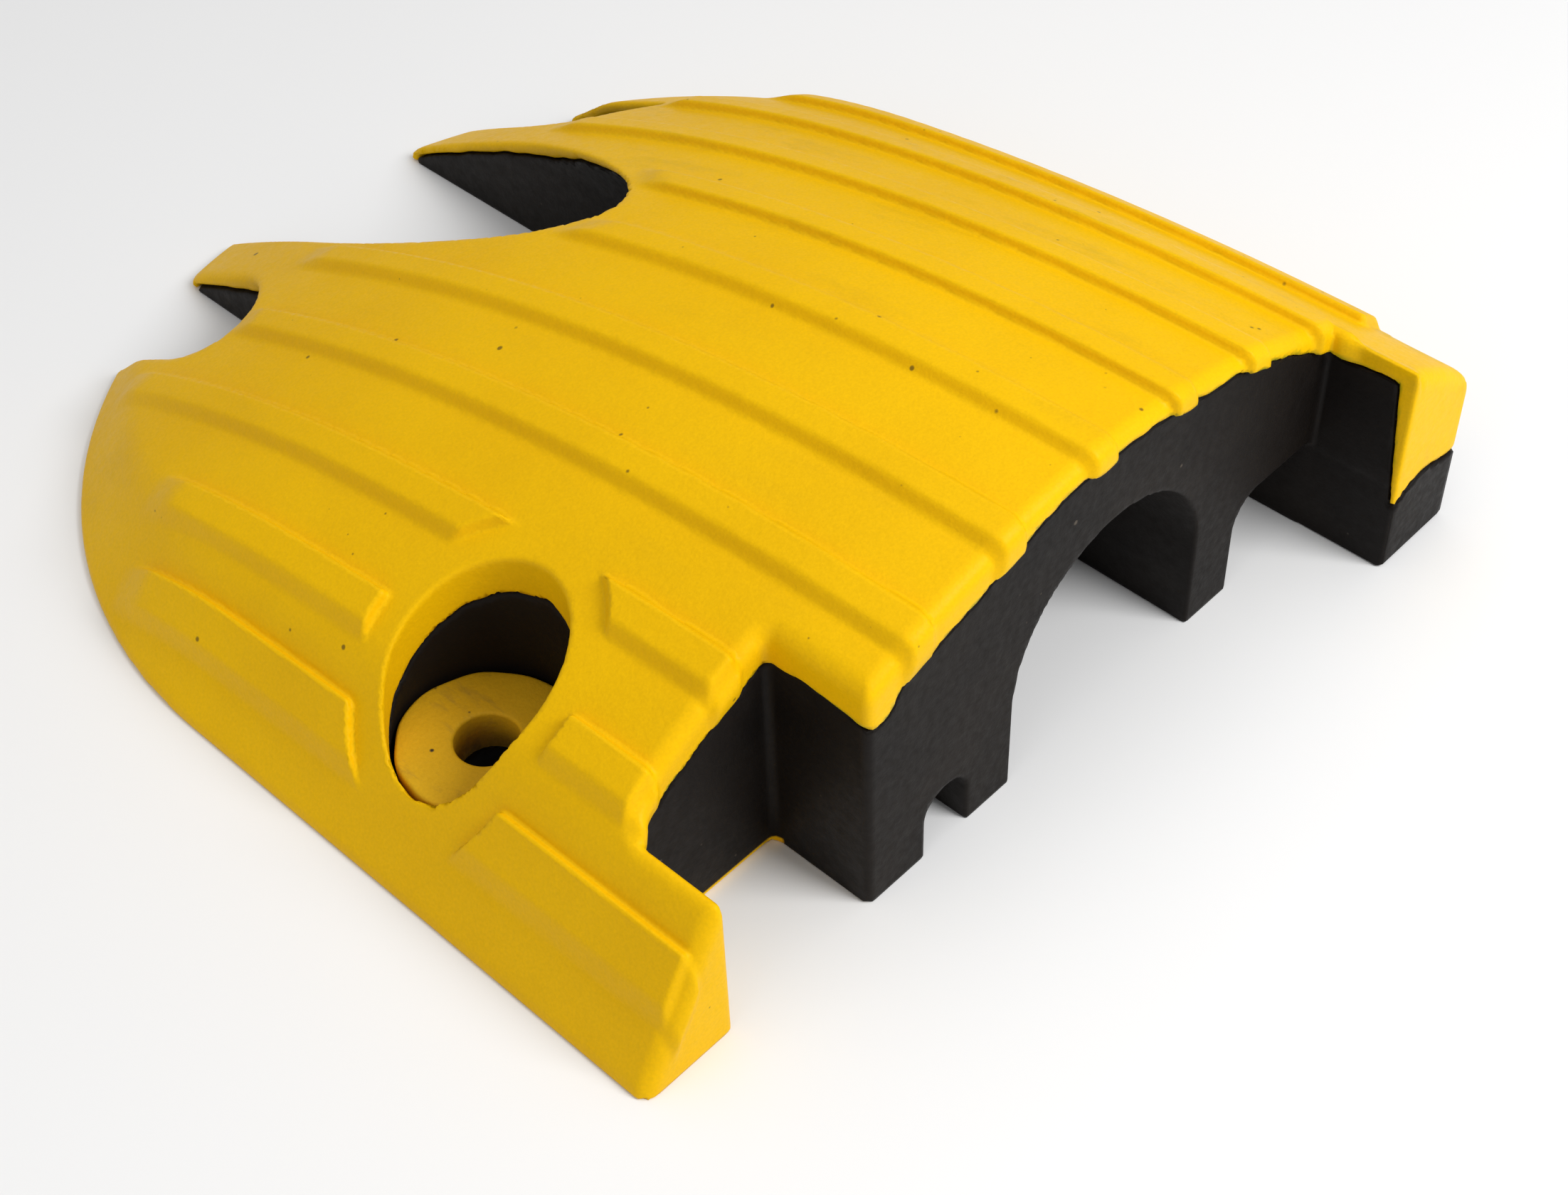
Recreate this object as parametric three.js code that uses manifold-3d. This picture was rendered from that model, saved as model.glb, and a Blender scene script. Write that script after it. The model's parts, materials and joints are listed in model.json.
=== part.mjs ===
// Moulded rubber end module of a modular road hump, in millimetres, +Z up.
// A black rubber body carries a yellow ribbed top layer. The nose is round and low, the mating end has
// one plug and one socket, channels run underneath, and one anchor hole is sunk into the near slope.
// Origin: centre of the footprint, on the road surface. +X points at the mating end.
import * as THREE from 'three';
import { mergeVertices } from 'three/addons/utils/BufferGeometryUtils.js';
import Module from 'manifold-3d';

// ---- Plan ----
const BODY_WIDTH = 300;
const BODY_LENGTH = 312;
const PLUG_REACH = 26;
const HALF_WIDTH = BODY_WIDTH / 2;
const NOSE_TIP_LOST = 1.6;
const MATING_X = (BODY_LENGTH - NOSE_TIP_LOST - PLUG_REACH) / 2;
const NOSE_CENTRE_X = MATING_X - BODY_LENGTH + HALF_WIDTH;
const PLUG_END_X = MATING_X + PLUG_REACH;
const PLUG_Y = [93, 122];
const SOCKET_DEPTH = 30;
const SOCKET_Y = [-122.5, -77.5];

// ---- Top surface ----
const CROWN_HEIGHT = 87.5;
const CROWN_SHAPE = [1.7, 0.53];
const SKIRT_SLOPE = 1.74;
const SHOULDER_BLEND = 4;
const EDGE_HEIGHT = 2;
const NOSE_FALL_POWER = 2.13;
const RIB_HEIGHT = 3;
const RIB_WIDTH = 10;
const RIB_TOP_WIDTH = 7.6;

// ---- Yellow layer ----
const SKIN_NEAR = 9.5;
const SKIN_FAR = 4.5;
const SKIN_EDGE = 1.2;
const SKIN_FULL_HEIGHT = 40;
const SKIN_INSET = 1.2;
const GAP = 0.3;
const PLUG_CAP_THICKNESS = 5;
const PLUG_CAP_BOTTOM = 24;

// ---- Anchor hole ----
const ANCHOR = { x: MATING_X - 88, y: -114 };
const COUNTERBORE_RADIUS = 23;
const SEAT_TOP = 22.5;
const SEAT_THICKNESS = 12;
const BOLT_RADIUS = 8;
const RIB_CLEAR_RADIUS = 32;

// ---- Channels: [near wall, far wall, roof height] at the mating end and at the nose ----
// corners are the radii of the roof's near and far corners at the mating end.
const CABLE_TUNNEL = { mating: [-26.5, 43.5, 63.4], nose: [-22, 43.5, 63.4], corners: [35, 35] };
const DRAIN_SLOT = { mating: [-57, -43, 19], nose: [-83, -43, 31.5], corners: [7, 7] };
const SIDE_CHANNEL = { mating: [61, 93, 30], nose: [61, 90, 27], corners: [9, 3] };
const CHANNEL_OVERRUN = 10;
const BELOW_GROUND = 5;

// ---- Ribs: distance from the centre line and distance of the nose end from the mating face ----
const RIBS = [
  { y: -136.4, nose: 208, mating: 1.5 },
  { y: -117, nose: 214, mating: SOCKET_DEPTH + 1.5 },
  { y: -90.5, nose: 268, mating: SOCKET_DEPTH + 1.5 },
  { y: -61.5, nose: 262, mating: 1.5 },
  { y: -31.5, nose: 256, mating: 1.5 },
  { y: 0, nose: 182, mating: 1.5 },
  { y: 30, nose: 186, mating: 1.5 },
  { y: 60, nose: 250, mating: 1.5 },
  { y: 90.5, nose: 236, mating: 1.5 },
  { y: 117, nose: 214, mating: 1.5 },
  { y: 136.4, nose: 208, mating: 1.5 },
];

const wasm = await Module();
wasm.setup();

/** Turns a closed three.js geometry into a solid. */
function solid(geometry) {
  const bare = geometry.clone();
  for (const name of Object.keys(bare.attributes)) {
    if (name !== 'position') bare.deleteAttribute(name);
  }
  const merged = mergeVertices(bare, 1e-3);
  return new wasm.Manifold(new wasm.Mesh({
    numProp: 3,
    vertProperties: Float32Array.from(merged.attributes.position.array),
    triVerts: Uint32Array.from(merged.index.array),
  }));
}

/** Turns a solid back into a three.js geometry. */
function geometryOf(body) {
  const mesh = body.getMesh();
  const geometry = new THREE.BufferGeometry();
  geometry.setAttribute('position', new THREE.BufferAttribute(new Float32Array(mesh.vertProperties), 3));
  geometry.setIndex(new THREE.BufferAttribute(new Uint32Array(mesh.triVerts), 1));
  geometry.computeVertexNormals();
  return geometry;
}

function smoothStep(low, high, value) {
  const t = Math.min(Math.max((value - low) / (high - low), 0), 1);
  return t * t * (3 - 2 * t);
}

/** Minimum of a and b with a rounded change-over of size k. */
function softMin(a, b, k) {
  const h = Math.min(Math.max(0.5 + 0.5 * (a - b) / k, 0), 1);
  return a * (1 - h) + b * h - k * h * (1 - h);
}

/** Height of the smooth top: a crowned section with steep skirts, falling and narrowing to the nose. */
function topHeight(x, y) {
  const back = Math.max(NOSE_CENTRE_X - x, 0);
  const half = Math.sqrt(Math.max(HALF_WIDTH ** 2 - back ** 2, 1));
  const across = Math.min(Math.abs(y) / half, 1);
  const crown = CROWN_HEIGHT * (1 - across ** CROWN_SHAPE[0]) ** CROWN_SHAPE[1];
  const skirt = SKIRT_SLOPE * HALF_WIDTH * (1 - across);
  const section = Math.max(softMin(skirt, crown, SHOULDER_BLEND), 0);
  const along = Math.min(Math.max((MATING_X - x) / BODY_LENGTH, 0), 1);
  return EDGE_HEIGHT + section * (1 - along ** NOSE_FALL_POWER);
}

/** Height of the black body under the yellow layer, which is thicker on the near slope. */
function coreHeight(x, y) {
  const top = topHeight(x, y);
  const full = SKIN_FAR + (SKIN_NEAR - SKIN_FAR) * (1 - smoothStep(-70, 10, y));
  return top - SKIN_EDGE - (full - SKIN_EDGE) * Math.min(top / SKIN_FULL_HEIGHT, 1);
}

/** A block whose upper face follows a height function; its columns crowd towards the two long sides. */
function heightBlock(heightAt) {
  const margin = 2;
  const lengthSteps = 26;
  const widthSteps = 32;
  const geometry = new THREE.BoxGeometry(2, 2, 2, lengthSteps, widthSteps, 1);
  const position = geometry.attributes.position;
  for (let i = 0; i < position.count; i += 1) {
    const x = position.getX(i) * (PLUG_END_X + margin);
    const y = Math.sin(position.getY(i) * Math.PI / 2) * (HALF_WIDTH + margin);
    const z = position.getZ(i) > 0 ? heightAt(x, y) : -margin;
    position.setXYZ(i, x, y, z);
  }
  return solid(geometry);
}

function extrude(shape, depth) {
  return new THREE.ExtrudeGeometry(shape, { depth, bevelEnabled: false, curveSegments: 32 });
}

/** Footprint: straight sides, half-round nose, one plug, one socket and a near strip ending at stripEnd. */
function footprint(inset, stripEnd) {
  const side = HALF_WIDTH - inset;
  const socketBack = MATING_X - SOCKET_DEPTH;
  const shape = new THREE.Shape();
  shape.moveTo(stripEnd, -side);
  shape.lineTo(NOSE_CENTRE_X, -side);
  shape.absarc(NOSE_CENTRE_X, 0, side, -Math.PI / 2, Math.PI / 2, true);
  shape.lineTo(MATING_X, side);
  shape.lineTo(MATING_X, PLUG_Y[1]);
  shape.lineTo(PLUG_END_X, PLUG_Y[1]);
  shape.lineTo(PLUG_END_X, PLUG_Y[0]);
  shape.lineTo(MATING_X, PLUG_Y[0]);
  shape.lineTo(MATING_X, SOCKET_Y[1]);
  shape.lineTo(socketBack, SOCKET_Y[1]);
  if (stripEnd > socketBack) {
    shape.lineTo(socketBack, SOCKET_Y[0]);
    shape.lineTo(stripEnd, SOCKET_Y[0]);
  }
  return shape;
}

/** Solid under a height function, inside a footprint, standing on the road. */
function moulding(heightAt, shape, bottom = 0) {
  const prism = extrude(shape, CROWN_HEIGHT * 2).translate(0, 0, bottom);
  return heightBlock(heightAt).intersect(solid(prism));
}

/** A raised strip that follows the top surface between two places along the module. */
function rib(y, fromX, toX) {
  const steps = Math.max(2, Math.round((toX - fromX) / 24));
  const geometry = new THREE.BoxGeometry(1, 2, 2, steps, 2, 1);
  const position = geometry.attributes.position;
  for (let i = 0; i < position.count; i += 1) {
    const upper = position.getZ(i) > 0;
    const x = fromX + (position.getX(i) + 0.5) * (toX - fromX);
    const width = upper ? RIB_TOP_WIDTH : RIB_WIDTH;
    const offset = position.getY(i) * width / 2 * Math.cos(Math.atan(slopeAcross(x, y)));
    const surface = topHeight(x, y + offset);
    position.setXYZ(i, x, y + offset, surface + (upper ? RIB_HEIGHT : -RIB_HEIGHT));
  }
  return solid(geometry);
}

/** Steepness of the top surface across the module. */
function slopeAcross(x, y) {
  const step = 0.5;
  return Math.abs(topHeight(x, y + step) - topHeight(x, y - step)) / (2 * step);
}

/** All ribs; those that meet the anchor hole stop on a circle around it. */
function ribs() {
  let all = null;
  for (const { y, nose, mating } of RIBS) {
    const start = MATING_X - nose;
    const end = MATING_X - mating;
    const offset = Math.abs(y - ANCHOR.y);
    const clear = offset < RIB_CLEAR_RADIUS ? Math.sqrt(RIB_CLEAR_RADIUS ** 2 - offset ** 2) : 0;
    const spans = clear > 0 ? [[start, ANCHOR.x - clear], [ANCHOR.x + clear, end]] : [[start, end]];
    for (const [from, to] of spans) {
      const strip = rib(y, from, to);
      all = all ? all.add(strip) : strip;
    }
  }
  return all;
}

/** Section of a channel: two upright walls and a flat roof with rounded corners, or a full arch. */
function archShape([near, far, roof], [nearRadius, farRadius]) {
  const shape = new THREE.Shape();
  shape.moveTo(near, -BELOW_GROUND);
  shape.lineTo(far, -BELOW_GROUND);
  shape.lineTo(far, roof - farRadius);
  shape.absarc(far - farRadius, roof - farRadius, farRadius, 0, Math.PI / 2, false);
  if (near + nearRadius < far - farRadius) shape.lineTo(near + nearRadius, roof);
  shape.absarc(near + nearRadius, roof - nearRadius, nearRadius, Math.PI / 2, Math.PI, false);
  return shape;
}

/** A channel under the module whose section changes evenly from the mating end to the nose. */
function channel({ mating, nose, corners }) {
  const depth = BODY_LENGTH + 2 * CHANNEL_OVERRUN;
  const shape = archShape(mating, corners);
  const geometry = new THREE.ExtrudeGeometry(shape, { depth, bevelEnabled: false, curveSegments: 8 });
  const position = geometry.attributes.position;
  for (let i = 0; i < position.count; i += 1) {
    const toNose = (depth - position.getZ(i)) / depth;
    const u = (position.getX(i) - mating[0]) / (mating[1] - mating[0]);
    const near = mating[0] + (nose[0] - mating[0]) * toNose;
    const far = mating[1] + (nose[1] - mating[1]) * toNose;
    const roof = mating[2] + (nose[2] - mating[2]) * toNose;
    const z = position.getY(i) < 0 ? position.getY(i) : position.getY(i) * roof / mating[2];
    const x = MATING_X - BODY_LENGTH - CHANNEL_OVERRUN + position.getZ(i);
    position.setXYZ(i, x, near + u * (far - near), z);
  }
  return solid(geometry);
}

/** Upright round solid from one height to another at the anchor. */
function anchorCylinder(radius, bottom, top) {
  const geometry = new THREE.CylinderGeometry(radius, radius, top - bottom, 40);
  geometry.rotateX(Math.PI / 2);
  geometry.translate(ANCHOR.x, ANCHOR.y, (bottom + top) / 2);
  return solid(geometry);
}

function box(low, high) {
  const geometry = new THREE.BoxGeometry(high[0] - low[0], high[1] - low[1], high[2] - low[2]);
  geometry.translate((low[0] + high[0]) / 2, (low[1] + high[1]) / 2, (low[2] + high[2]) / 2);
  return solid(geometry);
}

/** Everything that is cut right through both rubbers. */
function openings() {
  const counterbore = anchorCylinder(COUNTERBORE_RADIUS, SEAT_TOP - SEAT_THICKNESS - GAP, CROWN_HEIGHT * 2);
  return channel(CABLE_TUNNEL)
    .add(channel(DRAIN_SLOT))
    .add(channel(SIDE_CHANNEL))
    .add(counterbore)
    .add(anchorCylinder(BOLT_RADIUS, -BELOW_GROUND, CROWN_HEIGHT));
}

function plugCapSpace(clearance) {
  return box(
    [PLUG_END_X - PLUG_CAP_THICKNESS - clearance, PLUG_Y[0] - 5, PLUG_CAP_BOTTOM - clearance],
    [PLUG_END_X + 5, PLUG_Y[1] + 5, CROWN_HEIGHT * 2],
  );
}

function rubberBody(cuts) {
  const outline = footprint(SKIN_INSET, MATING_X - SOCKET_DEPTH);
  return moulding(coreHeight, outline).subtract(plugCapSpace(0)).subtract(cuts);
}

/** The yellow layer: all of the outside that the black body does not fill, less an even gap. */
function yellowCover(cuts) {
  const raised = (x, y) => coreHeight(x, y) + GAP * Math.hypot(1, slopeAcross(x, y));
  const outline = footprint(SKIN_INSET - GAP, MATING_X - SOCKET_DEPTH + GAP);
  const space = moulding(raised, outline, -1).subtract(plugCapSpace(-GAP));
  const outer = moulding(topHeight, footprint(0, MATING_X)).add(ribs());
  return outer.subtract(space).subtract(cuts);
}

function anchorSeat() {
  const seat = anchorCylinder(COUNTERBORE_RADIUS - GAP, SEAT_TOP - SEAT_THICKNESS, SEAT_TOP);
  return seat.subtract(anchorCylinder(BOLT_RADIUS, -BELOW_GROUND, CROWN_HEIGHT));
}

function piece(name, body, colour, roughness) {
  const material = new THREE.MeshStandardMaterial({ color: colour, roughness, metalness: 0 });
  const mesh = new THREE.Mesh(geometryOf(body), material);
  mesh.name = name;
  return mesh;
}

const cuts = openings();
const group = new THREE.Group();
group.add(piece('rubber_body', rubberBody(cuts), 0x26262a, 0.75));
group.add(piece('yellow_cover', yellowCover(cuts), 0xf0bc12, 0.5));
group.add(piece('anchor_seat', anchorSeat(), 0xd6a818, 0.55));

export default group;
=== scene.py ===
"""Rubber end module of a road hump: black rubber body, yellow ribbed cover and anchor seat.

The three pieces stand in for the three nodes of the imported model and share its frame. The nodes' own
meshes are never changed or moved: each new piece is a mesh of its own that rides on the same body.

Shapes are worked out in millimetres and become metres when a mesh is made. A moulded piece is a
distance field, below 0 inside the rubber, and its skin is laid over the cells of a box grid. x runs
towards the mating end, y towards the plug's side, z up. "Near" is the anchor hole's side, at low y.
"""
import json

import bpy
import numpy as np
from mathutils import Matrix, Vector


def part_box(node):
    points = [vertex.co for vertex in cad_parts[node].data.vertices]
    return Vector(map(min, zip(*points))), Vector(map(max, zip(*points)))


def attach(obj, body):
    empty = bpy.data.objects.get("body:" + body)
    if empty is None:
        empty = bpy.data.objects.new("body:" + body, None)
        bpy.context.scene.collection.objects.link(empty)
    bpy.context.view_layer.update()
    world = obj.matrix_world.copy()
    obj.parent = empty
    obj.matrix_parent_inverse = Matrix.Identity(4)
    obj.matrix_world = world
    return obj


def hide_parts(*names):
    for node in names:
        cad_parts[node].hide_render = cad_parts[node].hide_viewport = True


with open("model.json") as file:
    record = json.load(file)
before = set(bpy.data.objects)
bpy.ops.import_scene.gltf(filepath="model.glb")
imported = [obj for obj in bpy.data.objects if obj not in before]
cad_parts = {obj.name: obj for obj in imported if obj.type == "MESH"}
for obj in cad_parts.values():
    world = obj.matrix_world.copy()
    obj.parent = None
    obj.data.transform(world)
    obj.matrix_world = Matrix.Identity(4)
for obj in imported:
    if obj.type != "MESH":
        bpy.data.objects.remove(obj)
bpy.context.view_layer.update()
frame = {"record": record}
MM = 0.001


def millimetres(point):
    """A point in metres as three numbers in millimetres."""
    return [value / MM for value in point]


mounts = {mount["name"]: mount for mount in frame["record"]["mounts"]}
body_low, body_high = (millimetres(corner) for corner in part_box("rubber_body"))
cover_low, cover_high = (millimetres(corner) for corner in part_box("yellow_cover"))
seat_low, seat_high = (millimetres(corner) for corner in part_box("anchor_seat"))

# ---- Plan ----
HALF_WIDTH = cover_high[1]
PLUG_END = cover_high[0]
MATING = mounts["mating_face"]["pos_m"][0] / MM
BODY_LENGTH = 312.0
NOSE_CENTRE = MATING - BODY_LENGTH + HALF_WIDTH
PLUG_Y = (93.0, 122.0)
PLUG_ROOT = 40.0
PLUG_CORNER = 1.2
PLUG_FILLET = 0.6
SOCKET_Y = (-122.5, -77.5)
SOCKET_BACK = MATING - 30.0
SOCKET_REACH = 60.0
SOCKET_CORNER = 2.5
SOCKET_CORNER_NEAR = 7.5
SOCKET_CORNER_FADE = (-112, -100)
MATING_EDGE = 2.0

# ---- Top surface ----
CROWN = 87.5
CROWN_SHAPE = (1.7, 0.53)
SKIRT_SLOPE = 1.74
SHOULDER_BLEND = 4.0
EDGE_HEIGHT = 2.0
NOSE_FALL = 2.13
RIB_HEIGHT = 2.6
RIB_HALF = 3.1
RIB_OUTER_FLANK = 3.4
RIB_INNER_FLANK = 2.3
RIB_END_FLANK = 1.8
RIB_NOSE_FADE = (-2, 14)
RIB_STOP_FADE = 1
RIB_CLEAR = 31.0
RIB_MOUTH_FADE = (1, 6)
RIB_SLOPE_GAIN = 1.5

# ---- Ribs: place across, and how far the nose end and the other end lie behind the mating face ----
RIBS = (
    (-136.4, 208, 2), (-117.0, 214, 30), (-90.5, 268, 30), (-61.5, 262, 0), (-31.5, 256, 0),
    (0.0, 182, 0), (30.0, 186, 0), (60.0, 250, 0), (90.5, 236, 0), (117.0, 214, 2), (136.4, 208, 2),
)

# ---- Depth of the yellow cover ----
GAP = 0.3
FOOT_RIM = 3.5
SKIN_THIN = 2.6
SKIN_CREST = 4.6
SKIN_NEAR = 5.6
SKIN_NEAR_FADE = (-48, -8)
SKIN_FAR = 1.4
SKIN_FAR_FADE = (70, 90)
SKIN_FULL_HEIGHT = 40.0
SKIN_WAVES = ((0.8, 34, 3), (0.6, 12, 5))
BULGE_DEPTH = 4.5
BULGE_SIZE = 5.0
BULGE_INSET = 5.0
HOLE_RING_DEPTH = 2.5
HOLE_RING_REACH = 5.0
STRIP_SEAM = (4, 1.5)
CAP_THICKNESS = 2.0
CAP_LEAN = 0.1
CAP_BOTTOM = 24
CAP_LINE = 22.5
CAP_SWING = 2.2
CAP_SWING_START = 96
CAP_SWING_LENGTH = 5.2
CAP_RISE = 0.12

# ---- Lips and rounded edges ----
LIP = 0.5
LIP_KNUCKLE = 1.7
KNUCKLE_SETBACK = 5
KNUCKLE_FADE = (4, 13)
LIP_FADE = (4, 10)
TOP_EDGE_ROUND = 4.6
CORNER_ROUND = 3.5
SIDE_EDGE_ROUND = 0.8
SEAM_ROUND = 0.9
CUT_ROUND = 1.0
MOUTH_ROUND = 1.0
MOUTH_FADE = (-50, -10)
FOOT_ROUND = 0.4
BODY_CUT_ROUND = 0.8
BODY_FOOT_ROUND = 0.5

# ---- Cuts ----
ANCHOR = ((seat_low[0] + seat_high[0]) / 2, (seat_low[1] + seat_high[1]) / 2)
COUNTERBORE = (seat_high[0] - seat_low[0]) / 2 + GAP
BOLT_RADIUS = 8.0
SEAT_TOP = seat_high[2]
TUNNEL = {"mating": (-26.5, 43.5, 63.4), "nose": (-22.0, 43.5, 63.4), "corners": (35.0, 35.0)}
SLOT = {"mating": (-57.0, -43.0, 19.0), "nose": (-83.0, -43.0, 31.5), "corners": (7.0, 7.0)}
SIDE = {"mating": (61.0, 93.0, 30.0), "nose": (61.0, 90.0, 27.0), "corners": (9.0, 3.0)}
OVERRUN = 10.0

# ---- Skins ----
SLOPE_STEP = 0.5
STEEPNESS_STEP = 0.3
NORMAL_STEP = 0.6
HIDDEN_BELOW_TOP = 2.0
HIDDEN_FROM_CUTS = 3.5
HIDDEN_FROM_END = 4
HIDDEN_FROM_CORE = 1.2
HIDDEN_SHARE = 0.08
HIDDEN_WEIGHT = 10.0
FLATTEST = 0.05
TINY = 1e-9

# ---- Grids: margins, widest steps and, for the cover, the start and widest step of each part along x ----
SIDE_MARGIN = 1.2
SIDE_LINE = 2
END_MARGIN = 1.5
BELOW_GROUND = 1.0
ABOVE_TOP = 2.0
HOLE_REACH = 26
FOOT_TOP = 4.0
STEP_AT_HOLE = 1.3
STEP_ACROSS = 1.9
STEP_AT_FOOT = 0.9
STEP_UP = 1.3
FLANK_LINES = (
    -RIB_HALF - RIB_INNER_FLANK, -RIB_HALF - 0.9, -RIB_HALF, RIB_HALF,
    RIB_HALF + 1.1, RIB_HALF + 2.2, RIB_HALF + RIB_OUTER_FLANK,
)
COVER_SPANS = (
    (cover_low[0] - 2, 1.3), (ANCHOR[0] - 84, 1.6), (ANCHOR[0] - 34, 1.1), (ANCHOR[0] + 34, 1.8),
    (SOCKET_BACK - 9, 0.9), (SOCKET_BACK + 3, 1.8), (MATING - 8, 0.9), (MATING + 4, 2.0),
    (PLUG_END - 6, 0.9), (PLUG_END + END_MARGIN, 1.0),
)
BODY_NOSE_MARGIN = 4
BODY_SIDE_MARGIN = 2
BODY_END_REACH = 4
BODY_STEP_ALONG = 2.0
BODY_STEP_AT_END = 1.5
BODY_STEP_ACROSS = 1.6
BODY_STEP_UP = 1.5

# ---- Seat ----
SEAT_TURNS = 120
SEAT_PLAY = 0.5
BORE_RIM = 0.9
SEAT_RIM = 1.1
RIM_STEPS = 6
SEAT_INSET = 2.5
FLAT_STEPS = 8
WAVER_START = 4
WAVER_FULL = 1
WAVER_DEPTH = 0.8
WAVER_MEAN = 0.45
WAVER_WAVES = ((0.3, 3, 1.1), (0.2, 7, 0), (0.15, 11, 2))
SEAT_UNEVEN = 0.12
SEAT_UNEVEN_PHASE = 0.4

# ---- Finishes: texture scales are per metre, places in metres, colours linear ----
MOTTLE_SCALE = 17.0
MOTTLE_RANGE = (0.38, 0.68)
GRAIN_SCALE = 1300.0
GRAIN_RANGE = (0.3, 0.7)
GRAIN_SHADE = 0.09
GRAIN_IN_HEIGHT = 0.35
SKIN_SCALE = 380.0
ROUGHNESS_SPREAD = (-0.06, 0.08)
BUMP_HEIGHT = 0.0006
SPECK_SCALE = 110.0
SPECK_SIZE_SCALE = 30.0
SPECK_SIZE_RANGE = (0.42, 0.8)
SPECK_REACH = 0.11
SPECK_EDGE = 0.02
STREAK_TURN = (0, 0, 0.35)
STREAK_SCALE = (16, 60, 40)
STREAK_RANGE = (0.55, 0.78)
YELLOW = (0.89, 0.515, 0.002)
FLASH = (0.3, 0.3, 0.006)
FAR_SIDE = (-0.03, 0.1)
FAR_SMUDGES = (0.2, 0.8)
RIM_FADE = (0.5, 1.5)
RIM_HEIGHT_FADE = (28, 34)
RIM_END_FADE = (-1.6, -0.8)
FOOT_LINE_Z = (0.0016, 0.0023)
FOOT_LINE_X = (0.108, 0.1085)
FOOT_LINE_X_END = (0.1145, 0.1155)
FOOT_LINE_Y_END = (-0.0775, -0.0765)

# ---- Stage: metres, watts and millimetres of lens; a light's place, size and power ----
FLOOR_HALF = 15000.0
FLOOR_COLOUR = (0.86, 0.86, 0.86)
FLOOR_ROUGHNESS = 0.9
LIGHT_AIM = (0, 0, 0.03)
LIGHTS = (
    ("key_light", (1.0, 0.3, 1.0), 0.6, 15),
    ("top_light", (-0.1, 0.2, 1.5), 1.2, 4),
    ("fill_light", (0.1, -1.2, 0.8), 1.0, 2),
)
AIR_STRENGTH = 0.42
CAMERA_PLACE = (0.36839, -0.32718, 0.45231)
CAMERA_TURN = (
    (0.72635326, 0.68677097, -0.02750598),
    (0.4803491, -0.53584413, -0.69436),
    (-0.49160521, 0.49113818, -0.71910195),
)
SENSOR_WIDTH = 36.0
LENS = 55.37
CLIP = (0.01, 20.0)


def ramp(low, high, value):
    """0 below low, 1 above high, and a smooth S between them."""
    t = np.clip((value - low) / (high - low), 0, 1)
    return t * t * (3 - 2 * t)


def round_max(a, b, radius):
    """The larger of two distances; the outer edge where they meet is rounded to the radius."""
    return np.minimum(np.maximum(a, b), -radius) + np.hypot(
        np.maximum(a + radius, 0), np.maximum(b + radius, 0)
    )


def round_min(a, b, radius):
    """The smaller of two distances; the inner edge where they meet gets a fillet of the radius."""
    return -round_max(-a, -b, radius)


def ripple(x, y, scale, seed):
    """Slow wobble from -1 to 1: a mean of four sine waves in directions and phases drawn from the seed."""
    rng = np.random.default_rng(seed)
    total = 0.0
    for turn, phase, stretch in rng.uniform(0, 1, (4, 3)):
        angle = turn * np.pi
        wave = (x * np.cos(angle) + y * np.sin(angle)) / (scale * (0.6 + 0.8 * stretch))
        total = total + np.sin(2 * np.pi * (wave + phase))
    return total / 4


def rib_mask(x, y):
    """1 on top of the ribs and 0 between them, with soft flanks; the downhill flank is the wider one."""
    mask = 0.0
    for place, behind_nose, behind_mating in RIBS:
        outward = (y - place) * (1 if place > 0 else -1)
        inner = RIB_OUTER_FLANK if place == 0 else RIB_INNER_FLANK
        outer = RIB_OUTER_FLANK if abs(place) < RIBS[-1][0] else RIB_INNER_FLANK
        across = ramp(-RIB_HALF - inner, -RIB_HALF, outward)
        across = across * ramp(-RIB_HALF - outer, -RIB_HALF, -outward)
        start = MATING - behind_nose
        along = ramp(start + RIB_NOSE_FADE[0], start + RIB_NOSE_FADE[1], x)
        if behind_mating:
            stop = MATING - behind_mating
            along = along * (1 - ramp(stop - RIB_STOP_FADE, stop + RIB_STOP_FADE, x))
        mask = np.maximum(mask, across * along)
    clear = ramp(RIB_CLEAR, RIB_CLEAR + RIB_END_FLANK, np.hypot(x - ANCHOR[0], y - ANCHOR[1]))
    top = smooth_top(x, y)
    for sizes in (TUNNEL, SLOT, SIDE):
        clear = clear * np.where(x < 0, ramp(*RIB_MOUTH_FADE, channel(x, y, top, sizes)), 1)
    return mask * clear


def smooth_top(x, y):
    """Height of the top without ribs: a crowned section with 60 degree skirts, which falls towards the
    nose as 1 minus a power of the distance and narrows there with the half-round outline."""
    back = np.maximum(NOSE_CENTRE - x, 0)
    half = np.sqrt(np.maximum(HALF_WIDTH ** 2 - back ** 2, 1))
    across = np.minimum(np.abs(y) / half, 1)
    crown = CROWN * (1 - across ** CROWN_SHAPE[0]) ** CROWN_SHAPE[1]
    skirt = SKIRT_SLOPE * HALF_WIDTH * (1 - across)
    share = np.clip(0.5 + 0.5 * (skirt - crown) / SHOULDER_BLEND, 0, 1)
    section = skirt * (1 - share) + crown * share - SHOULDER_BLEND * share * (1 - share)
    along = np.clip((MATING - x) / BODY_LENGTH, 0, 1)
    return EDGE_HEIGHT + np.maximum(section, 0) * (1 - along ** NOSE_FALL)


def ribbed_top(x, y):
    """Height of the yellow top with its ribs, which are taller upright where the top is steep."""
    rise = (smooth_top(x, y + SLOPE_STEP) - smooth_top(x, y - SLOPE_STEP)) / (2 * SLOPE_STEP)
    upright = np.minimum(np.sqrt(1 + rise ** 2), RIB_SLOPE_GAIN)
    return smooth_top(x, y) + RIB_HEIGHT * rib_mask(x, y) * upright


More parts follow.
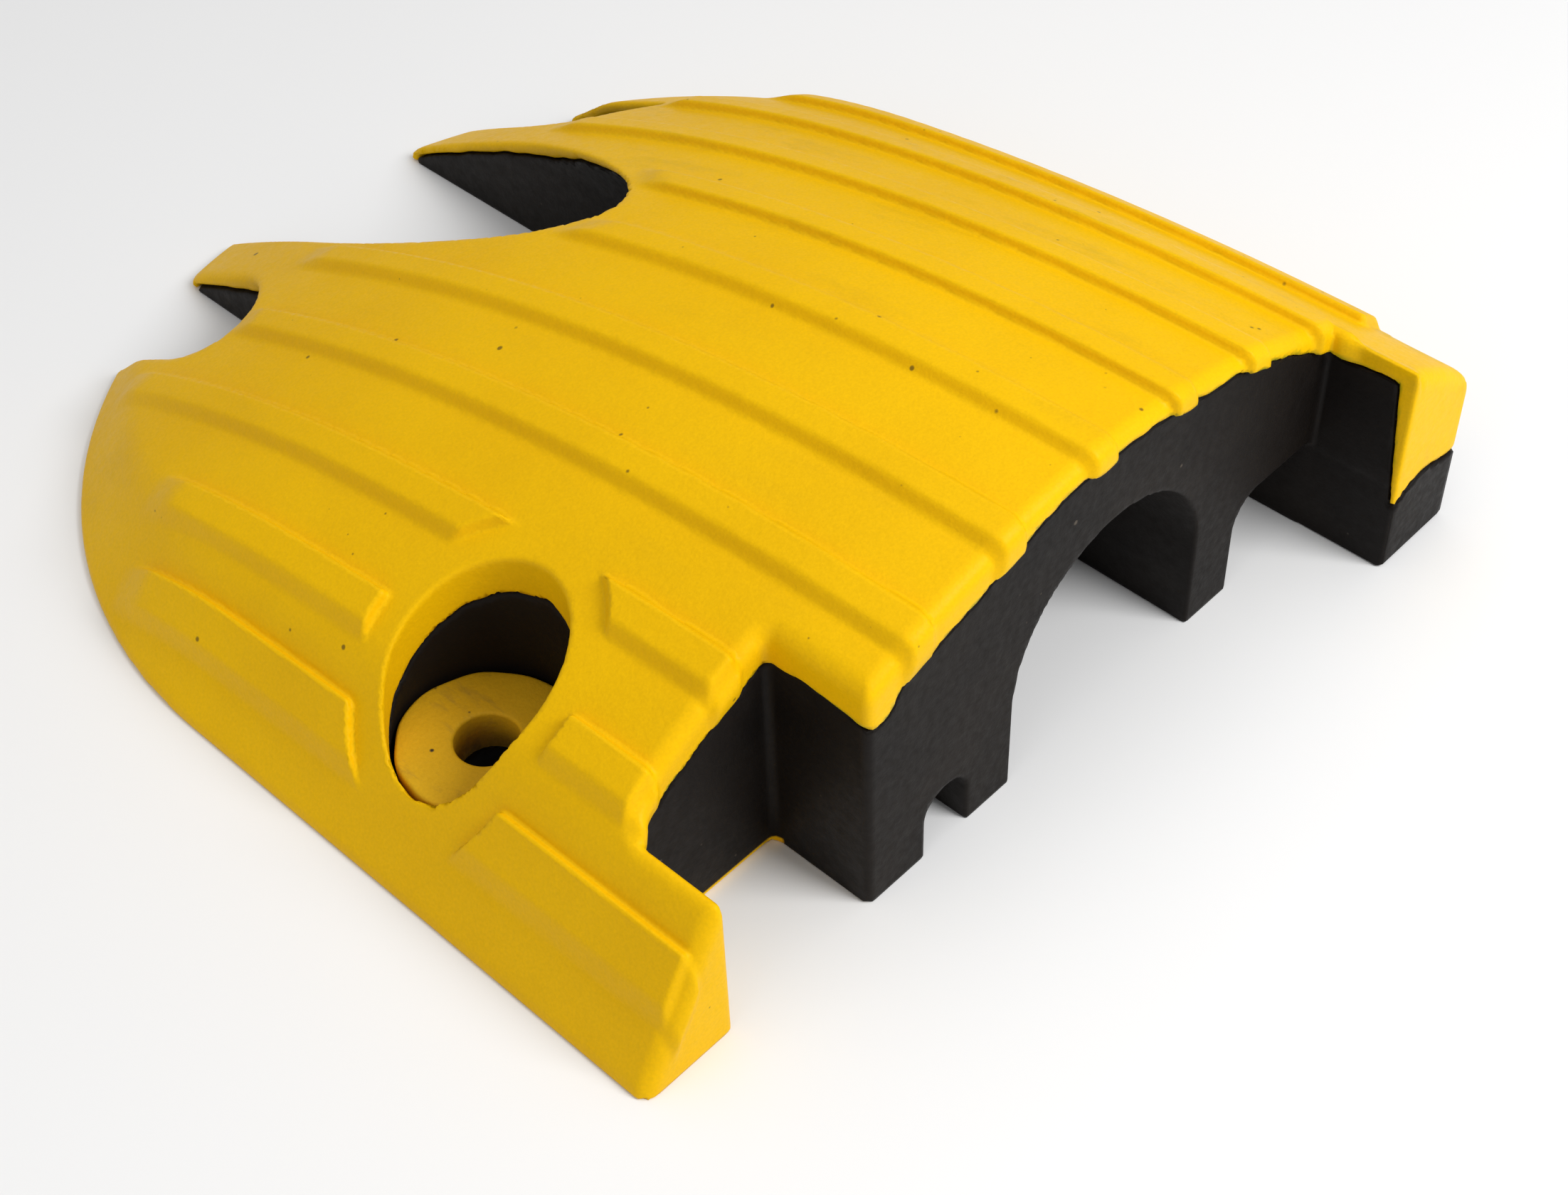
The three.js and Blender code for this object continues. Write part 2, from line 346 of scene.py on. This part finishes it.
def cover_depth(x, y):
    """How far the yellow cover reaches down from the smooth top: deepest on the near slope, thin over
    the crest, with a wavy edge and a bulge at the socket's near corner."""
    depth = SKIN_CREST + SKIN_NEAR * (1 - ramp(*SKIN_NEAR_FADE, y)) + SKIN_FAR * ramp(*SKIN_FAR_FADE, y)
    from_end = (x - MATING) / BULGE_SIZE
    from_side = (y - SOCKET_Y[1] - BULGE_INSET) / BULGE_SIZE
    bulge = np.exp(-(from_end ** 4 + from_side ** 4))
    wavy = sum(height * ripple(x, y, scale, seed) for height, scale, seed in SKIN_WAVES)
    from_anchor = np.hypot(x - ANCHOR[0], y - ANCHOR[1])
    ring = np.exp(-(np.maximum(from_anchor - COUNTERBORE, 0) ** 2) / (2 * HOLE_RING_REACH ** 2))
    depth = depth + BULGE_DEPTH * bulge + HOLE_RING_DEPTH * ring + wavy
    thin = SKIN_THIN * steepness(smooth_top, x, y, SLOPE_STEP)
    return thin + np.maximum(depth - thin, 0) * np.minimum(smooth_top(x, y) / SKIN_FULL_HEIGHT, 1)


def steepness(height, x, y, step):
    """Length of a height surface's slope vector with its upright part 1."""
    rise_x = (height(x + step, y) - height(x - step, y)) / (2 * step)
    rise_y = (height(x, y + step) - height(x, y - step)) / (2 * step)
    return np.sqrt(1 + rise_x ** 2 + rise_y ** 2)


def height_distance(height, x, y, z):
    """Distance to a height surface: the height error shortened by the surface's steepness."""
    return (z - height(x, y)) / steepness(height, x, y, STEEPNESS_STEP)


def outline(x, y):
    """Plan distance to the straight sides and the half-round nose."""
    nose = np.hypot(np.minimum(x - NOSE_CENTRE, 0), y)
    return np.where(x < NOSE_CENTRE, nose, np.abs(y)) - HALF_WIDTH


def flat_box(x, y, low, high, radius):
    """Plan distance to a box with rounded corners."""
    across = np.abs(x - (low[0] + high[0]) / 2) - (high[0] - low[0]) / 2 + radius
    along = np.abs(y - (low[1] + high[1]) / 2) - (high[1] - low[1]) / 2 + radius
    outside = np.hypot(np.maximum(across, 0), np.maximum(along, 0))
    return outside + np.minimum(np.maximum(across, along), 0) - radius


def mating_end(x, y):
    """Plan distance to the mating end: a flat face with one socket and one plug."""
    near = 1 - ramp(*SOCKET_CORNER_FADE, y)
    corner = SOCKET_CORNER + (SOCKET_CORNER_NEAR - SOCKET_CORNER) * near
    socket = flat_box(x, y, (SOCKET_BACK, SOCKET_Y[0]), (MATING + SOCKET_REACH, SOCKET_Y[1]), corner)
    plug = flat_box(x, y, (MATING - PLUG_ROOT, PLUG_Y[0]), (PLUG_END, PLUG_Y[1]), PLUG_CORNER)
    return round_min(round_max(x - MATING, -socket, MATING_EDGE), plug, PLUG_FILLET)


def arch(y, z, low, high, roof, corners):
    """Distance to a channel's section: a box open at the bottom, its two roof corners rounded."""
    middle = (low + high) / 2
    radius = np.where(y < middle, corners[0], corners[1])
    across = np.abs(y - middle) - (high - low) / 2 + radius
    up = z - roof + radius
    outside = np.hypot(np.maximum(across, 0), np.maximum(up, 0))
    return outside + np.minimum(np.maximum(across, up), 0) - radius


def channel(x, y, z, sizes):
    """Distance to a channel whose walls and roof change evenly from the mating end to the nose: the
    point is carried back to the mating section, and the distance is scaled by the smaller stretch."""
    length = BODY_LENGTH + 2 * OVERRUN
    to_nose = (MATING + OVERRUN - x) / length
    near, far, roof = (
        a + (b - a) * to_nose for a, b in zip(sizes["mating"], sizes["nose"])
    )
    wide = (far - near) / (sizes["mating"][1] - sizes["mating"][0])
    tall = roof / sizes["mating"][2]
    across = sizes["mating"][0] + (y - near) / wide
    return arch(across, z / tall, *sizes["mating"], sizes["corners"]) * np.minimum(wide, tall)


def cuts(x, y, z):
    """Distance to the three channels and the anchor hole together; each is below 0 inside the air."""
    from_anchor = np.hypot(x - ANCHOR[0], y - ANCHOR[1])
    bore = np.maximum(from_anchor - COUNTERBORE, seat_low[2] - GAP - z)
    air = np.minimum(bore, from_anchor - BOLT_RADIUS)
    for sizes in (TUNNEL, SLOT, SIDE):
        air = np.minimum(air, channel(x, y, z, sizes))
    return air


def core_height(x, y):
    """Height of the black body under the cover."""
    return smooth_top(x, y) - cover_depth(x, y)


def cap_line(y):
    """Height of the wavy lower edge of the yellow cap on the plug's end."""
    swing = CAP_SWING * np.sin((y - CAP_SWING_START) / CAP_SWING_LENGTH)
    return CAP_LINE + swing + CAP_RISE * (y - PLUG_Y[0])


def core(x, y, z):
    """Distance to the space that the black body fills: under the cover's depth, inside the foot's rim,
    behind the near strip and below the plug's yellow cap."""
    inside = np.maximum(height_distance(core_height, x, y, z), outline(x, y) + FOOT_RIM)
    strip = np.maximum(SOCKET_BACK - STRIP_SEAM[0] - x, y - SOCKET_Y[0] - STRIP_SEAM[1])
    cap_start = PLUG_END - CAP_THICKNESS - CAP_LEAN * np.maximum(z - CAP_BOTTOM, 0)
    cap = np.maximum(cap_start - x, cap_line(y) - z)
    return np.maximum(np.maximum(inside, -strip), -cap)


def body_field(x, y, z):
    """Distance to the black rubber: the core inside the mating end, without the channels and the hole."""
    solid = np.maximum(core(x, y, z), mating_end(x, y))
    return round_max(round_max(solid, -cuts(x, y, z), BODY_CUT_ROUND), -z, BODY_FOOT_ROUND)


def lipped_end(x, y, z):
    """Plan distance to the mating end of the cover, which stands proud of the black face, more so
    just below the top edge where a rib runs over it."""
    knuckle = rib_mask(x - KNUCKLE_SETBACK, y) * (1 - ramp(*KNUCKLE_FADE, smooth_top(x, y) - z))
    lip = LIP + LIP_KNUCKLE * knuckle
    return mating_end(x, y) - lip * (1 - ramp(MATING + LIP_FADE[0], MATING + LIP_FADE[1], x))


def cover_field(x, y, z):
    """Distance to the yellow rubber: all of the outside that the core leaves free, less a small gap."""
    end = lipped_end(x, y, z)
    solid = round_max(height_distance(ribbed_top, x, y, z), end, TOP_EDGE_ROUND)
    solid = round_max(solid, round_max(end, outline(x, y), CORNER_ROUND), SIDE_EDGE_ROUND)
    solid = round_max(solid, GAP - core(x, y, z), SEAM_ROUND)
    edge = CUT_ROUND + MOUTH_ROUND * (1 - ramp(*MOUTH_FADE, x))
    return round_max(round_max(solid, -cuts(x, y, z), edge), -z, FOOT_ROUND)


def skin(field, lines):
    """Lays a closed skin over a distance field. Each cell of the box grid that the skin crosses gets one
    point, the mean of the crossings on its edges. Each crossed grid edge gets one face, which joins the
    points of the four cells around it and looks from inside to outside."""
    xs, ys, zs = lines
    values = field(xs[:, None, None], ys[None, :, None], zs[None, None, :])
    inside = values < 0
    cells = np.array(values.shape) - 1
    crossings, owners, faces = [], [], []
    for axis in range(3):
        side, other = (axis + 1) % 3, (axis + 2) % 3
        low = tuple(slice(0, -1) if a == axis else slice(None) for a in range(3))
        high = tuple(slice(1, None) if a == axis else slice(None) for a in range(3))
        crossed = np.argwhere(inside[low] != inside[high])
        start = values[low][tuple(crossed.T)]
        end = values[high][tuple(crossed.T)]
        point = np.stack([lines[a][crossed[:, a]] for a in range(3)], 1)
        step = lines[axis][crossed[:, axis] + 1] - lines[axis][crossed[:, axis]]
        point[:, axis] += step * start / (start - end)
        around = []
        for back_side, back_other in ((0, 0), (1, 0), (1, 1), (0, 1)):
            cell = crossed.copy()
            cell[:, side] -= back_side
            cell[:, other] -= back_other
            around.append(np.ravel_multi_index(tuple(cell.T), tuple(cells)))
            crossings.append(point)
        face = np.stack(around, 1)
        face[start > 0] = face[start > 0][:, ::-1]
        owners.extend(around)
        faces.append(face)
    owners, crossings = np.concatenate(owners), np.concatenate(crossings)
    used, place = np.unique(owners, return_inverse=True)
    count = np.bincount(place)
    points = np.stack([np.bincount(place, crossings[:, a]) / count for a in range(3)], 1)
    return points, np.searchsorted(used, np.concatenate(faces))


def slope_of(field, points, step=0.06):
    """Value and gradient of a field at points, the gradient from differences over a step."""
    x, y, z = points.T
    slope = np.stack([
        field(x + step, y, z) - field(x - step, y, z),
        field(x, y + step, z) - field(x, y - step, z),
        field(x, y, z + step) - field(x, y, z - step),
    ], 1) / (2 * step)
    return field(x, y, z), slope


def settle(field, points, rounds=3, reach=0.5):
    """Moves points on to the skin along the gradient, by at most the reach in each round."""
    for _ in range(rounds):
        value, slope = slope_of(field, points)
        length = np.maximum((slope ** 2).sum(1), FLATTEST)
        move = -slope * (value / length)[:, None]
        size = np.linalg.norm(move, axis=1)
        points = points + move * np.minimum(1, reach / np.maximum(size, TINY))[:, None]
    return points


def grid_lines(stops, spacing):
    """Grid lines through all the stops, with even steps between two stops no wider than the spacing."""
    parts = []
    for low, high in zip(stops[:-1], stops[1:]):
        count = int(np.ceil((high - low) / spacing((low + high) / 2)))
        parts.append(np.linspace(low, high, count, endpoint=False))
    return np.concatenate(parts + [np.array([stops[-1]])])


def mesh_piece(name, points, faces):
    """Makes an object from points in millimetres and faces, smooth shaded."""
    mesh = bpy.data.meshes.new(name)
    mesh.vertices.add(len(points))
    mesh.vertices.foreach_set("co", (np.asarray(points) * MM).astype(np.float32).ravel())
    corners = faces.shape[1]
    mesh.loops.add(faces.size)
    mesh.loops.foreach_set("vertex_index", faces.astype(np.int32).ravel())
    mesh.polygons.add(len(faces))
    mesh.polygons.foreach_set("loop_start", np.arange(0, faces.size, corners, dtype=np.int32))
    mesh.polygons.foreach_set("use_smooth", np.ones(len(faces), bool))
    mesh.update(calc_edges=True)
    piece = bpy.data.objects.new(name, mesh)
    bpy.context.scene.collection.objects.link(piece)
    return piece


def points_of(mesh):
    """The points of a mesh in millimetres, one row for each."""
    flat = np.empty(len(mesh.vertices) * 3, np.float32)
    mesh.vertices.foreach_get("co", flat)
    return flat.reshape(-1, 3).astype(float) / MM


def thinned(piece, hidden, share):
    """Collapses the faces between the hidden points of a mesh down to a share of them."""
    group = piece.vertex_groups.new(name="hidden")
    group.add(np.flatnonzero(hidden).tolist(), 1.0, "REPLACE")
    thin = piece.modifiers.new("thin", "DECIMATE")
    thin.vertex_group = group.name
    thin.vertex_group_factor = HIDDEN_WEIGHT
    thin.ratio = 1 - hidden.mean() * (1 - share)
    thin.use_collapse_triangulate = True
    full = piece.data
    piece.data = bpy.data.meshes.new_from_object(
        piece.evaluated_get(bpy.context.evaluated_depsgraph_get())
    )
    piece.modifiers.clear()
    piece.vertex_groups.clear()
    bpy.data.meshes.remove(full)


def moulded_piece(name, field, lines):
    """A moulded piece: the settled skin of a field, thinned where the other piece hides it, with
    normals along the gradient of the field."""
    points, faces = skin(field, lines)
    points = settle(field, points)
    points[:, 2] = np.maximum(points[:, 2], 0)
    points[:, 1] = np.clip(points[:, 1], -HALF_WIDTH, HALF_WIDTH)
    piece = mesh_piece(name, points, faces)
    x, y, z = points.T
    hidden = (z < smooth_top(x, y) - HIDDEN_BELOW_TOP) & (cuts(x, y, z) > HIDDEN_FROM_CUTS)
    hidden &= (mating_end(x, y) < -HIDDEN_FROM_END) & (np.abs(core(x, y, z)) < HIDDEN_FROM_CORE)
    thinned(piece, hidden, HIDDEN_SHARE)
    mesh = piece.data
    slope = slope_of(field, points_of(mesh), NORMAL_STEP)[1]
    normals = slope / np.maximum(np.linalg.norm(slope, axis=1), TINY)[:, None]
    mesh.polygons.foreach_set("use_smooth", np.ones(len(mesh.polygons), bool))
    mesh.normals_split_custom_set_from_vertices(normals)
    return piece


def cover_lines():
    """Grid of the cover: lines along the flanks of the ribs, closer steps at the hole and the lips."""
    hole = (ANCHOR[1] - HOLE_REACH, ANCHOR[1] + HOLE_REACH)
    side, foot = HALF_WIDTH + SIDE_MARGIN, HALF_WIDTH - SIDE_LINE
    stops = [-side, side, -foot, foot]
    for place, _, _ in RIBS:
        outward = 1 if place > 0 else -1
        stops.extend(place + outward * offset for offset in FLANK_LINES)
    ys = grid_lines(sorted(stops), lambda y: STEP_AT_HOLE if hole[0] < y < hole[1] else STEP_ACROSS)
    steps = dict(COVER_SPANS)
    xs = grid_lines([span[0] for span in COVER_SPANS],
                    lambda x: steps[max(start for start in steps if start <= x)])
    zs = grid_lines((-BELOW_GROUND, FOOT_TOP, cover_high[2] + ABOVE_TOP),
                    lambda z: STEP_AT_FOOT if z < FOOT_TOP else STEP_UP)
    return xs, ys, zs


def body_lines():
    """Grid of the body: closer steps at the mating end."""
    end = SOCKET_BACK - BODY_END_REACH
    xs = grid_lines((body_low[0] - BODY_NOSE_MARGIN, end, PLUG_END + END_MARGIN),
                    lambda x: BODY_STEP_ALONG if x < end else BODY_STEP_AT_END)
    ys = grid_lines((body_low[1] - BODY_SIDE_MARGIN, body_high[1] + BODY_SIDE_MARGIN),
                    lambda y: BODY_STEP_ACROSS)
    zs = grid_lines((-BELOW_GROUND, body_high[2] + ABOVE_TOP), lambda z: BODY_STEP_UP)
    return xs, ys, zs


def seat_piece():
    """The anchor seat: a profile of a ring with rounded rims, turned about the bolt's axis. Its outer
    edge wavers with the angle as a sum of sine waves, and its top is a little uneven."""
    angle = np.linspace(0, 2 * np.pi, SEAT_TURNS, endpoint=False)
    outer, top, low = COUNTERBORE - SEAT_PLAY, SEAT_TOP, seat_low[2]
    arc = np.linspace(0, np.pi / 2, RIM_STEPS)
    rims = [
        (np.array([BOLT_RADIUS]), np.array([low])),
        (BOLT_RADIUS + BORE_RIM - BORE_RIM * np.cos(arc), top - BORE_RIM + BORE_RIM * np.sin(arc)),
        (np.linspace(BOLT_RADIUS + SEAT_INSET, outer - SEAT_INSET, FLAT_STEPS), np.full(FLAT_STEPS, top)),
        (outer - SEAT_RIM + SEAT_RIM * np.sin(arc), top - SEAT_RIM + SEAT_RIM * np.cos(arc)),
        (np.array([outer]), np.array([low])),
    ]
    radius = np.concatenate([rim[0] for rim in rims])[:, None]
    height = np.concatenate([rim[1] for rim in rims])[:, None]
    share = ramp(BOLT_RADIUS + WAVER_START, outer - WAVER_FULL, radius)
    waver = WAVER_MEAN
    for size, count, phase in WAVER_WAVES:
        waver = waver + size * np.sin(count * angle + phase)
    radius = radius - share * WAVER_DEPTH * waver
    height = height + SEAT_UNEVEN * np.sin(2 * angle + SEAT_UNEVEN_PHASE) * (height > low + 1)
    points = np.stack([ANCHOR[0] + radius * np.cos(angle), ANCHOR[1] + radius * np.sin(angle), height], -1)
    rows = len(points)
    row, column = np.meshgrid(np.arange(rows), np.arange(SEAT_TURNS), indexing="ij")
    after, beside = (row + 1) % rows, (column + 1) % SEAT_TURNS
    faces = np.stack([
        row * SEAT_TURNS + column, row * SEAT_TURNS + beside,
        after * SEAT_TURNS + beside, after * SEAT_TURNS + column,
    ], -1).reshape(-1, 4)
    return mesh_piece("anchor_seat_moulding", points.reshape(-1, 3), faces[:, ::-1])


def rim_strength(mesh):
    """How strongly the parting rim is tinted at each point of the cover: 1 at the body's surface, faded
    out away from it, below the strip's height and behind the mating end."""
    x, y, z = points_of(mesh).T
    strength = 1 - ramp(*RIM_FADE, core(x, y, z))
    strength *= ramp(*RIM_HEIGHT_FADE, z) * ramp(*RIM_END_FADE, mating_end(x, y))
    return strength.astype(np.float32)


# ---- Finishes ----


def shader(name, colour, roughness):
    """A material with a Principled shader; returns it with its node tree and shader node."""
    material = bpy.data.materials.new(name)
    material.use_nodes = True
    bsdf = material.node_tree.nodes["Principled BSDF"]
    bsdf.inputs["Base Color"].default_value = (*colour, 1)
    bsdf.inputs["Roughness"].default_value = roughness
    return material, material.node_tree, bsdf


def feed(tree, socket, value):
    """Links a value that is itself a socket to the socket, or else sets the socket to it."""
    if isinstance(value, bpy.types.NodeSocket):
        tree.links.new(value, socket)
    else:
        socket.default_value = value


def add(tree, kind, label="", **sockets):
    """Adds a node and feeds its sockets, named with underscores for spaces."""
    node = tree.nodes.new("ShaderNode" + kind)
    node.label = label
    for name, value in sockets.items():
        feed(tree, node.inputs[name.replace("_", " ")], value)
    return node


def blend_colour(tree, share, first, second):
    """Mixes two colours by a share from 0 to 1 and returns the result's socket."""
    node = tree.nodes.new("ShaderNodeMix")
    node.data_type = "RGBA"
    for index, value in ((0, share), (6, first), (7, second)):
        feed(tree, node.inputs[index], value)
    return node.outputs[2]


def stretch(tree, value, low, high, to_low=0.0, to_high=1.0):
    """Maps low..high to a new range, clamped, and returns the result's socket."""
    node = add(tree, "MapRange", Value=value)
    for name, number in (("From Min", low), ("From Max", high), ("To Min", to_low), ("To Max", to_high)):
        node.inputs[name].default_value = number
    return node.outputs["Result"]


def worked(tree, operation, first, second):
    """Two values put through one arithmetic operation; returns the result's socket."""
    node = tree.nodes.new("ShaderNodeMath")
    node.operation = operation
    feed(tree, node.inputs[0], first)
    feed(tree, node.inputs[1], second)
    return node.outputs[0]


def times(tree, first, second):
    """Product of two values."""
    return worked(tree, "MULTIPLY", first, second)


def rubber_group():
    """Shared look of moulded rubber: slow mottling, a fine grain, small specks and streaky smudges over
    a base colour, with the roughness and the height that go with them."""
    group = bpy.data.node_groups.new("moulded_rubber_surface", "ShaderNodeTree")
    for name, kind in (
        ("Vector", "Vector"), ("Base", "Color"), ("Mottle", "Color"), ("Speck", "Color"),
        ("Smudge", "Color"), ("Mottle Amount", "Float"), ("Speck Amount", "Float"),
        ("Smudge Amount", "Float"), ("Roughness", "Float"),
    ):
        group.interface.new_socket(name, in_out="INPUT", socket_type="NodeSocket" + kind)
    for name, kind in (("Color", "Color"), ("Roughness", "Float"), ("Height", "Float")):
        group.interface.new_socket(name, in_out="OUTPUT", socket_type="NodeSocket" + kind)
    given = group.nodes.new("NodeGroupInput").outputs
    result = group.nodes.new("NodeGroupOutput").inputs
    place = given["Vector"]
    slow = add(group, "TexNoise", "mottling", Vector=place, Scale=MOTTLE_SCALE, Detail=5.0, Roughness=0.6)
    fine = add(group, "TexNoise", "grain", Vector=place, Scale=GRAIN_SCALE, Detail=3.0, Roughness=0.6)
    coarse = add(group, "TexNoise", "skin", Vector=place, Scale=SKIN_SCALE, Detail=3.0, Roughness=0.55)
    dots = add(group, "TexVoronoi", "specks", Vector=place, Scale=SPECK_SCALE)
    dot_size = add(group, "TexNoise", "speck size", Vector=place, Scale=SPECK_SIZE_SCALE)
    turned = add(group, "Mapping", "streak direction", Vector=place, Rotation=STREAK_TURN,
                 Scale=STREAK_SCALE)
    streaks = add(group, "TexNoise", "streaks", Vector=turned.outputs[0], Scale=1.0, Detail=6.0,
                  Roughness=0.7)
    mottled = stretch(group, slow.outputs[0], *MOTTLE_RANGE)
    colour = blend_colour(group, times(group, mottled, given["Mottle Amount"]), given["Base"],
                          given["Mottle"])
    streaked = times(group, stretch(group, streaks.outputs[0], *STREAK_RANGE), given["Smudge Amount"])
    colour = blend_colour(group, streaked, colour, given["Smudge"])
    reach = stretch(group, dot_size.outputs[0], *SPECK_SIZE_RANGE, 0.0, SPECK_REACH)
    apart = worked(group, "SUBTRACT", reach, dots.outputs["Distance"])
    dotted = times(group, stretch(group, apart, -SPECK_EDGE, SPECK_EDGE), given["Speck Amount"])
    colour = blend_colour(group, dotted, colour, given["Speck"])
    grain = stretch(group, fine.outputs[0], *GRAIN_RANGE, 0.0, GRAIN_SHADE)
    colour = blend_colour(group, grain, colour, (0, 0, 0, 1))
    group.links.new(colour, result["Color"])
    uneven = stretch(group, coarse.outputs[0], *GRAIN_RANGE, *ROUGHNESS_SPREAD)
    rough = worked(group, "ADD", given["Roughness"], uneven)
    group.links.new(rough, result["Roughness"])
    height = blend_colour(group, GRAIN_IN_HEIGHT, coarse.outputs[0], fine.outputs[0])
    group.links.new(height, result["Height"])
    return group


def rubber_finish(name, base, mottle, speck, smudge, amounts, roughness, specular, bump):
    """A rubber material on object coordinates; returns it with its tree, shader and surface node."""
    material, tree, bsdf = shader(name, base, roughness)
    bsdf.inputs["Specular IOR Level"].default_value = specular
    surface = tree.nodes.new("ShaderNodeGroup")
    surface.node_tree = RUBBER
    place = tree.nodes.new("ShaderNodeTexCoord")
    tree.links.new(place.outputs["Object"], surface.inputs["Vector"])
    for socket, value in (("Base", base), ("Mottle", mottle), ("Speck", speck), ("Smudge", smudge)):
        surface.inputs[socket].default_value = (*value, 1)
    for socket, value in zip(("Mottle Amount", "Speck Amount", "Smudge Amount"), amounts):
        surface.inputs[socket].default_value = value
    surface.inputs["Roughness"].default_value = roughness
    tree.links.new(surface.outputs["Color"], bsdf.inputs["Base Color"])
    tree.links.new(surface.outputs["Roughness"], bsdf.inputs["Roughness"])
    relief = add(tree, "Bump", Height=surface.outputs["Height"], Strength=bump, Distance=BUMP_HEIGHT)
    tree.links.new(relief.outputs["Normal"], bsdf.inputs["Normal"])
    return material, tree, bsdf, surface


def yellow_finish():
    """Yellow rubber: more smudged towards the far side, with a patchy greenish flash on the parting rim."""
    material, tree, bsdf, surface = rubber_finish(
        "yellow_rubber_finish", YELLOW, (0.8, 0.445, 0.002), (0.12, 0.07, 0.012), (0.58, 0.35, 0.01),
        (0.55, 0.8, 0.3), 0.42, 0.06, 0.3,
    )
    place = add(tree, "TexCoord").outputs["Object"]
    across = add(tree, "SeparateXYZ", Vector=place).outputs["Y"]
    tree.links.new(stretch(tree, across, *FAR_SIDE, *FAR_SMUDGES), surface.inputs["Smudge Amount"])
    rim = add(tree, "Attribute", "parting rim")
    rim.attribute_name = "rim"
    patchy = add(tree, "TexNoise", "flash patches", Vector=place, Scale=160.0, Detail=2.0)
    flash = times(tree, rim.outputs["Fac"], stretch(tree, patchy.outputs[0], 0.42, 0.6))
    tinted = blend_colour(tree, flash, surface.outputs["Color"], (*FLASH, 1))
    tree.links.new(tinted, bsdf.inputs["Base Color"])
    return material


def black_finish():
    """Black rubber, with a thin wavy line of yellow rubber along the foot of the socket's back wall."""
    material, tree, bsdf, surface = rubber_finish(
        "black_rubber_finish", (0.007, 0.0054, 0.0046), (0.014, 0.0105, 0.0082), (0.16, 0.13, 0.1),
        (0.02, 0.017, 0.014), (0.8, 0.5, 0.5), 0.5, 0.09, 0.2,
    )
    place = add(tree, "TexCoord").outputs["Object"]
    split = add(tree, "SeparateXYZ", Vector=place).outputs
    waver = add(tree, "TexNoise", "foot line", Vector=place, Scale=90.0, Detail=2.0).outputs[0]
    foot = stretch(tree, split["Z"], *FOOT_LINE_Z, 1.0, 0.0)
    back_wall = times(tree, stretch(tree, split["X"], *FOOT_LINE_X),
                      stretch(tree, split["Y"], *FOOT_LINE_Y_END, 1.0, 0.0))
    back_wall = times(tree, back_wall, stretch(tree, split["X"], *FOOT_LINE_X_END, 1.0, 0.0))
    creep = times(tree, times(tree, foot, back_wall), stretch(tree, waver, 0.3, 0.4))
    stained = blend_colour(tree, creep, surface.outputs["Color"], (*YELLOW, 1))
    tree.links.new(stained, bsdf.inputs["Base Color"])
    return material


def seat_finish():
    """The seat's duller, dirtier yellow rubber."""
    return rubber_finish(
        "seat_rubber_finish", (0.74, 0.42, 0.012), (0.6, 0.33, 0.012), (0.05, 0.035, 0.02),
        (0.16, 0.1, 0.04), (0.8, 1.0, 0.9), 0.5, 0.1, 0.5,
    )[0]


RUBBER = rubber_group()
yellow = yellow_finish()
black = black_finish()
seat_yellow = seat_finish()

cover = moulded_piece("cover_moulding", cover_field, cover_lines())
body = moulded_piece("body_moulding", body_field, body_lines())
seat = seat_piece()
cover.data.attributes.new("rim", "FLOAT", "POINT").data.foreach_set("value", rim_strength(cover.data))
for piece, node, material, slot in (
    (cover, "yellow_cover", yellow, "yellow_rubber"),
    (body, "rubber_body", black, "black_rubber"),
    (seat, "anchor_seat", seat_yellow, "seat_rubber"),
):
    piece.data.materials.append(material)
    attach(piece, "root")
    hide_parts(node)

# ---- Stage ----


def floor_sheet():
    """A flat pale floor, 30 m across."""
    half = FLOOR_HALF
    points = np.array([[-half, -half, 0], [half, -half, 0], [half, half, 0], [-half, half, 0]])
    floor = mesh_piece("studio_floor", points, np.array([[0, 1, 2, 3]]))
    material, _, _ = shader("studio_floor_finish", FLOOR_COLOUR, FLOOR_ROUGHNESS)
    floor.data.materials.append(material)


def soft_light(name, place, size, power):
    """A square area light in metres and watts that looks at the middle of the module."""
    data = bpy.data.lights.new(name, "AREA")
    data.shape = "SQUARE"
    data.size = size
    data.energy = power
    light = bpy.data.objects.new(name, data)
    bpy.context.scene.collection.objects.link(light)
    light.location = place
    light.rotation_mode = "QUATERNION"
    light.rotation_quaternion = (Vector(LIGHT_AIM) - Vector(place)).to_track_quat("-Z", "Y")


def studio_air():
    """An even white world that fills the shadows."""
    world = bpy.data.worlds.new("studio_air")
    world.use_nodes = True
    world.node_tree.nodes["Background"].inputs["Color"].default_value = (1, 1, 1, 1)
    world.node_tree.nodes["Background"].inputs["Strength"].default_value = AIR_STRENGTH
    bpy.context.scene.world = world


def studio_camera():
    """The camera, turned by the directions to the right, down and forward in its view."""
    data = bpy.data.cameras.new("studio_camera")
    data.sensor_width = SENSOR_WIDTH
    data.lens = LENS
    data.clip_start = CLIP[0]
    data.clip_end = CLIP[1]
    camera = bpy.data.objects.new("studio_camera", data)
    bpy.context.scene.collection.objects.link(camera)
    right, down, forward = (Vector(direction) for direction in CAMERA_TURN)
    turn = Matrix((right, -down, -forward)).transposed().to_4x4()
    camera.matrix_world = Matrix.Translation(CAMERA_PLACE) @ turn
    bpy.context.scene.camera = camera


floor_sheet()
for light in LIGHTS:
    soft_light(*light)
studio_air()
studio_camera()
bpy.context.scene.view_settings.view_transform = "Standard"
